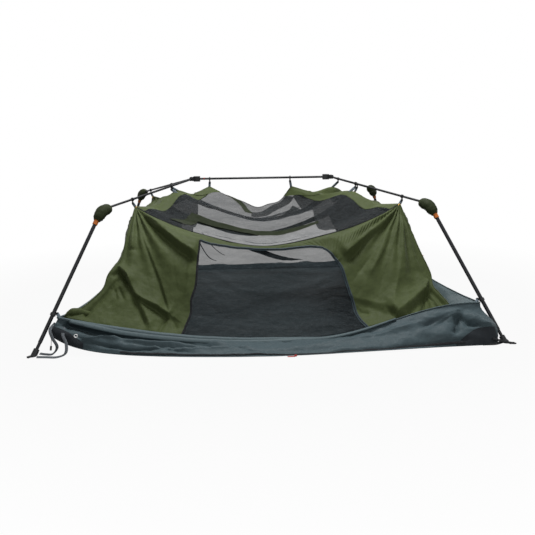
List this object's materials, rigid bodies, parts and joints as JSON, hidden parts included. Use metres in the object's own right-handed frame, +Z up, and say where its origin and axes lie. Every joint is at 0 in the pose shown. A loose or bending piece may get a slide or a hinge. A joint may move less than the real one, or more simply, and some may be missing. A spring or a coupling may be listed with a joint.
{
  "type": "instant cabin tent",
  "caption": "Instant cabin tent with a folding hub frame on telescopic legs, a hung cloth and mesh canopy, a mesh door and a tub floor, shown before its legs are drawn out.",
  "frame": {"origin": "on the ground, under the middle of the ridge pole, at the middle of the tub floor", "axes": "+Z up, -Y towards the mesh door, +X towards the right of someone who faces the door"},
  "size_m": [3.1702, 3.259, 1.079],
  "materials": {
    "black_tube": "satin black powder coat over steel tube",
    "black_plastic": "moulded nylon, fine texture",
    "orange_plastic": "moulded nylon, satin",
    "olive_cloth": "coated polyester taffeta, creased, slight sheen",
    "olive_pad": "padded polyester, stitched",
    "slate_cloth": "heavy coated polyester, creased",
    "black_mesh": "fine see-through insect mesh",
    "grey_webbing": "narrow woven webbing",
    "red_plastic": "moulded zip slider and cord pull"
  },
  "bodies": {
    "base": {"floor_tub": "slate_cloth", "wall_sill": "slate_cloth", "corner_strap_outer": "grey_webbing", "corner_strap_inner": "grey_webbing"},
    "zip": {"zip_pull": "red_plastic"},
    "canopy": {"roof_mesh": "black_mesh", "front_wall": "olive_cloth", "mesh_door": "black_mesh", "left_wall": "olive_cloth", "right_wall": "olive_cloth", "back_wall": "black_mesh"},
    "top_frame": {"ridge_pole": "black_tube", "hub_left": "black_plastic", "hub_right": "black_plastic", "hook_ridge_left": "black_plastic", "hook_ridge_right": "black_plastic"},
    "pole_fl": {"roof_pole_fl": "black_tube", "hook_corner_fl": "black_plastic", "hook_mid_fl": "black_plastic"},
    "elbow_fl": {"elbow_link_fl": "black_plastic", "elbow_cover_fl": "olive_pad"},
    "leg_fl": {"leg_collar_fl": "orange_plastic", "leg_tube_fl": "black_tube"},
    "leg_lower_fl": {"leg_inner_fl": "black_tube", "foot_fl": "black_plastic", "leg_clip_fl": "black_plastic"},
    "button_fl": {"leg_button_fl": "black_plastic"},
    "pole_fr": {"roof_pole_fr": "black_tube", "hook_corner_fr": "black_plastic", "hook_mid_fr": "black_plastic"},
    "elbow_fr": {"elbow_link_fr": "black_plastic", "elbow_cover_fr": "olive_pad"},
    "leg_fr": {"leg_collar_fr": "orange_plastic", "leg_tube_fr": "black_tube"},
    "leg_lower_fr": {"leg_inner_fr": "black_tube", "foot_fr": "black_plastic", "leg_clip_fr": "black_plastic"},
    "button_fr": {"leg_button_fr": "black_plastic"},
    "pole_bl": {"roof_pole_bl": "black_tube", "hook_corner_bl": "black_plastic", "hook_mid_bl": "black_plastic"},
    "elbow_bl": {"elbow_link_bl": "black_plastic", "elbow_cover_bl": "olive_pad"},
    "leg_bl": {"leg_collar_bl": "orange_plastic", "leg_tube_bl": "black_tube"},
    "leg_lower_bl": {"leg_inner_bl": "black_tube", "foot_bl": "black_plastic", "leg_clip_bl": "black_plastic"},
    "button_bl": {"leg_button_bl": "black_plastic"},
    "pole_br": {"roof_pole_br": "black_tube", "hook_corner_br": "black_plastic", "hook_mid_br": "black_plastic"},
    "elbow_br": {"elbow_link_br": "black_plastic", "elbow_cover_br": "olive_pad"},
    "leg_br": {"leg_collar_br": "orange_plastic", "leg_tube_br": "black_tube"},
    "leg_lower_br": {"leg_inner_br": "black_tube", "foot_br": "black_plastic", "leg_clip_br": "black_plastic"},
    "button_br": {"leg_button_br": "black_plastic"}
  },
  "joints": [
    {"name": "raise", "type": "slide", "parent": "base", "child": "canopy", "axis": [0, 0, 1], "range_m": [0, 0.75], "deforming": ["wall_sill", "floor_tub"]},
    {"name": "collapse", "type": "slide", "parent": "canopy", "child": "top_frame", "axis": [0, 0, 1], "range_m": [-0.896, 0], "deforming": ["roof_mesh", "front_wall", "mesh_door", "left_wall", "right_wall", "back_wall"]},
    {"name": "zip_slide", "type": "slide", "parent": "base", "child": "zip", "axis": [1, 0, 0], "range_m": [-0.6, 0.35]},
    {"name": "hub_fold_fl", "type": "hinge", "parent": "top_frame", "child": "pole_fl", "pos_m": [-0.6, -0.04, 1.056], "axis": [0.849, -0.5284, 0], "range_deg": [-98.71, 0]},
    {"name": "elbow_fold_fl", "type": "hinge", "parent": "pole_fl", "child": "elbow_fl", "pos_m": [-1.16995, -0.95369, 0.86401], "axis": [-0.8514, 0.5231, 0.0383], "range_deg": [-135.4, 0], "deforming": ["elbow_cover_fl"]},
    {"name": "leg_splay_fl", "type": "hinge", "parent": "elbow_fl", "child": "leg_fl", "pos_m": [-1.19056, -0.98672, 0.85695], "axis": [0.8514, -0.5231, -0.0383], "range_deg": [0, 15.04]},
    {"name": "leg_extend_fl", "type": "slide", "parent": "leg_fl", "child": "leg_lower_fl", "axis": [-0.3389, -0.493, -0.8013], "range_m": [0, 0.6521]},
    {"name": "button_press_fl", "type": "slide", "parent": "leg_fl", "child": "button_fl", "axis": [-0.4003, -0.6952, 0.5971], "range_m": [0, 0.0025], "stiffness_N_per_m": 400, "springref_m": -0.002},
    {"name": "hub_fold_fr", "type": "hinge", "parent": "top_frame", "child": "pole_fr", "pos_m": [0.6, -0.04, 1.056], "axis": [0.849, 0.5284, 0], "range_deg": [-98.71, 0]},
    {"name": "elbow_fold_fr", "type": "hinge", "parent": "pole_fr", "child": "elbow_fr", "pos_m": [1.16995, -0.95369, 0.86401], "axis": [-0.8514, -0.5231, -0.0383], "range_deg": [-135.4, 0], "deforming": ["elbow_cover_fr"]},
    {"name": "leg_splay_fr", "type": "hinge", "parent": "elbow_fr", "child": "leg_fr", "pos_m": [1.19056, -0.98672, 0.85695], "axis": [0.8514, 0.5231, 0.0383], "range_deg": [0, 15.04]},
    {"name": "leg_extend_fr", "type": "slide", "parent": "leg_fr", "child": "leg_lower_fr", "axis": [0.3389, -0.493, -0.8013], "range_m": [0, 0.6521]},
    {"name": "button_press_fr", "type": "slide", "parent": "leg_fr", "child": "button_fr", "axis": [0.4003, -0.6952, 0.5971], "range_m": [0, 0.0025], "stiffness_N_per_m": 400, "springref_m": -0.002},
    {"name": "hub_fold_bl", "type": "hinge", "parent": "top_frame", "child": "pole_bl", "pos_m": [-0.6, 0.04, 1.056], "axis": [-0.849, -0.5284, 0], "range_deg": [-98.71, 0]},
    {"name": "elbow_fold_bl", "type": "hinge", "parent": "pole_bl", "child": "elbow_bl", "pos_m": [-1.16995, 0.95369, 0.86401], "axis": [0.8514, 0.5231, -0.0383], "range_deg": [-135.4, 0], "deforming": ["elbow_cover_bl"]},
    {"name": "leg_splay_bl", "type": "hinge", "parent": "elbow_bl", "child": "leg_bl", "pos_m": [-1.19056, 0.98672, 0.85695], "axis": [-0.8514, -0.5231, 0.0383], "range_deg": [0, 15.04]},
    {"name": "leg_extend_bl", "type": "slide", "parent": "leg_bl", "child": "leg_lower_bl", "axis": [-0.3389, 0.493, -0.8013], "range_m": [0, 0.6521]},
    {"name": "button_press_bl", "type": "slide", "parent": "leg_bl", "child": "button_bl", "axis": [-0.4003, 0.6952, 0.5971], "range_m": [0, 0.0025], "stiffness_N_per_m": 400, "springref_m": -0.002},
    {"name": "hub_fold_br", "type": "hinge", "parent": "top_frame", "child": "pole_br", "pos_m": [0.6, 0.04, 1.056], "axis": [-0.849, 0.5284, 0], "range_deg": [-98.71, 0]},
    {"name": "elbow_fold_br", "type": "hinge", "parent": "pole_br", "child": "elbow_br", "pos_m": [1.16995, 0.95369, 0.86401], "axis": [0.8514, -0.5231, 0.0383], "range_deg": [-135.4, 0], "deforming": ["elbow_cover_br"]},
    {"name": "leg_splay_br", "type": "hinge", "parent": "elbow_br", "child": "leg_br", "pos_m": [1.19056, 0.98672, 0.85695], "axis": [-0.8514, 0.5231, -0.0383], "range_deg": [0, 15.04]},
    {"name": "leg_extend_br", "type": "slide", "parent": "leg_br", "child": "leg_lower_br", "axis": [0.3389, 0.493, -0.8013], "range_m": [0, 0.6521]},
    {"name": "button_press_br", "type": "slide", "parent": "leg_br", "child": "button_br", "axis": [0.4003, 0.6952, 0.5971], "range_m": [0, 0.0025], "stiffness_N_per_m": 400, "springref_m": -0.002}
  ],
  "couplings": [
    {"joint": "hub_fold_fl", "follows": "collapse", "rad_per_m": 1.9225},
    {"joint": "elbow_fold_fl", "follows": "collapse", "rad_per_m": 2.6373},
    {"joint": "leg_splay_fl", "follows": "raise", "rad_per_m": 0.34976},
    {"joint": "leg_extend_fl", "follows": "raise", "ratio": 0.86933},
    {"joint": "hub_fold_fr", "follows": "collapse", "rad_per_m": 1.9225},
    {"joint": "elbow_fold_fr", "follows": "collapse", "rad_per_m": 2.6373},
    {"joint": "leg_splay_fr", "follows": "raise", "rad_per_m": 0.34976},
    {"joint": "leg_extend_fr", "follows": "raise", "ratio": 0.86933},
    {"joint": "hub_fold_bl", "follows": "collapse", "rad_per_m": 1.9225},
    {"joint": "elbow_fold_bl", "follows": "collapse", "rad_per_m": 2.6373},
    {"joint": "leg_splay_bl", "follows": "raise", "rad_per_m": 0.34976},
    {"joint": "leg_extend_bl", "follows": "raise", "ratio": 0.86933},
    {"joint": "hub_fold_br", "follows": "collapse", "rad_per_m": 1.9225},
    {"joint": "elbow_fold_br", "follows": "collapse", "rad_per_m": 2.6373},
    {"joint": "leg_splay_br", "follows": "raise", "rad_per_m": 0.34976},
    {"joint": "leg_extend_br", "follows": "raise", "ratio": 0.86933}
  ]
}
